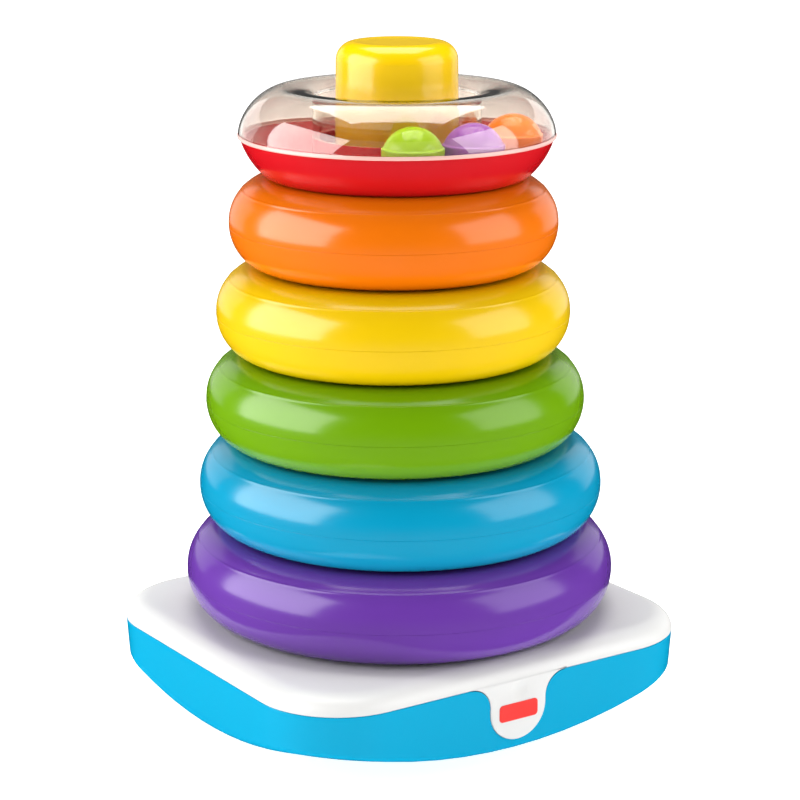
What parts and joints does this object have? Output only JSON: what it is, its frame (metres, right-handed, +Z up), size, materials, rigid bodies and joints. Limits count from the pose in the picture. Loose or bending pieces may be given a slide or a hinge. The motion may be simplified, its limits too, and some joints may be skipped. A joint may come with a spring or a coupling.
{
  "type": "stacking ring toy",
  "caption": "Stacking ring toy: graduated hollow rings and a clear-topped rattle ring lift off a post on a rocking base with a rounded underside.",
  "frame": {"origin": "centre of the flat foot under the rocking base, on the surface the toy stands on", "axes": "+Z up along the post; +X along the longer side of the base; the side with the tongue and its label faces -Y"},
  "size_m": [0.246, 0.225, 0.3613],
  "materials": {
    "rocker_blue": "glossy moulded plastic",
    "top_white": "satin-gloss moulded plastic",
    "label_red": "printed film label",
    "post_yellow": "glossy moulded plastic",
    "ring_purple": "glossy moulded plastic",
    "ring_blue": "glossy moulded plastic",
    "ring_green": "glossy moulded plastic",
    "ring_yellow": "glossy moulded plastic",
    "ring_orange": "glossy moulded plastic",
    "tray_red": "glossy moulded plastic",
    "dome_clear": "clear polished plastic",
    "bead_green": "glossy moulded plastic",
    "bead_purple": "glossy moulded plastic",
    "bead_orange": "glossy moulded plastic",
    "screw_steel": "zinc-plated steel"
  },
  "bodies": {
    "base": {"base_rocker": "rocker_blue", "base_top": "top_white", "badge_label": "label_red", "post": "post_yellow", "base_screw_1": "screw_steel", "base_screw_2": "screw_steel", "base_screw_3": "screw_steel", "base_screw_4": "screw_steel", "post_screw_1": "screw_steel", "post_screw_2": "screw_steel", "post_screw_3": "screw_steel", "post_screw_4": "screw_steel"},
    "purple_ring": {"purple_ring_lower": "ring_purple", "purple_ring_upper": "ring_purple"},
    "blue_ring": {"blue_ring_lower": "ring_blue", "blue_ring_upper": "ring_blue"},
    "green_ring": {"green_ring_lower": "ring_green", "green_ring_upper": "ring_green"},
    "yellow_ring": {"yellow_ring_lower": "ring_yellow", "yellow_ring_upper": "ring_yellow"},
    "orange_ring": {"orange_ring_lower": "ring_orange", "orange_ring_upper": "ring_orange"},
    "rattle_ring": {"rattle_tray": "tray_red", "rattle_dome": "dome_clear"},
    "purple_bead": {"bead_purple": "bead_purple"},
    "green_bead": {"bead_green": "bead_green"},
    "orange_bead": {"bead_orange": "bead_orange"}
  },
  "joints": [
    {"name": "purple_ring_lift", "type": "slide", "parent": "base", "child": "purple_ring", "axis": [0, 0, 1], "range_m": [0, 0.303]},
    {"name": "blue_ring_lift", "type": "slide", "parent": "purple_ring", "child": "blue_ring", "axis": [0, 0, 1], "range_m": [0, 0.257]},
    {"name": "green_ring_lift", "type": "slide", "parent": "blue_ring", "child": "green_ring", "axis": [0, 0, 1], "range_m": [0, 0.211]},
    {"name": "yellow_ring_lift", "type": "slide", "parent": "green_ring", "child": "yellow_ring", "axis": [0, 0, 1], "range_m": [0, 0.165]},
    {"name": "orange_ring_lift", "type": "slide", "parent": "yellow_ring", "child": "orange_ring", "axis": [0, 0, 1], "range_m": [0, 0.119]},
    {"name": "rattle_ring_lift", "type": "slide", "parent": "orange_ring", "child": "rattle_ring", "axis": [0, 0, 1], "range_m": [0, 0.073]},
    {"name": "purple_bead_roll", "type": "hinge", "parent": "rattle_ring", "child": "purple_bead", "pos_m": [0, 0, 0.3112], "axis": [0, 0, 1], "continuous": true},
    {"name": "green_bead_roll", "type": "hinge", "parent": "purple_bead", "child": "green_bead", "pos_m": [0, 0, 0.3112], "axis": [0, 0, 1], "range_deg": [-149, 1]},
    {"name": "orange_bead_roll", "type": "hinge", "parent": "purple_bead", "child": "orange_bead", "pos_m": [0, 0, 0.3112], "axis": [0, 0, 1], "range_deg": [-9, 107]}
  ]
}
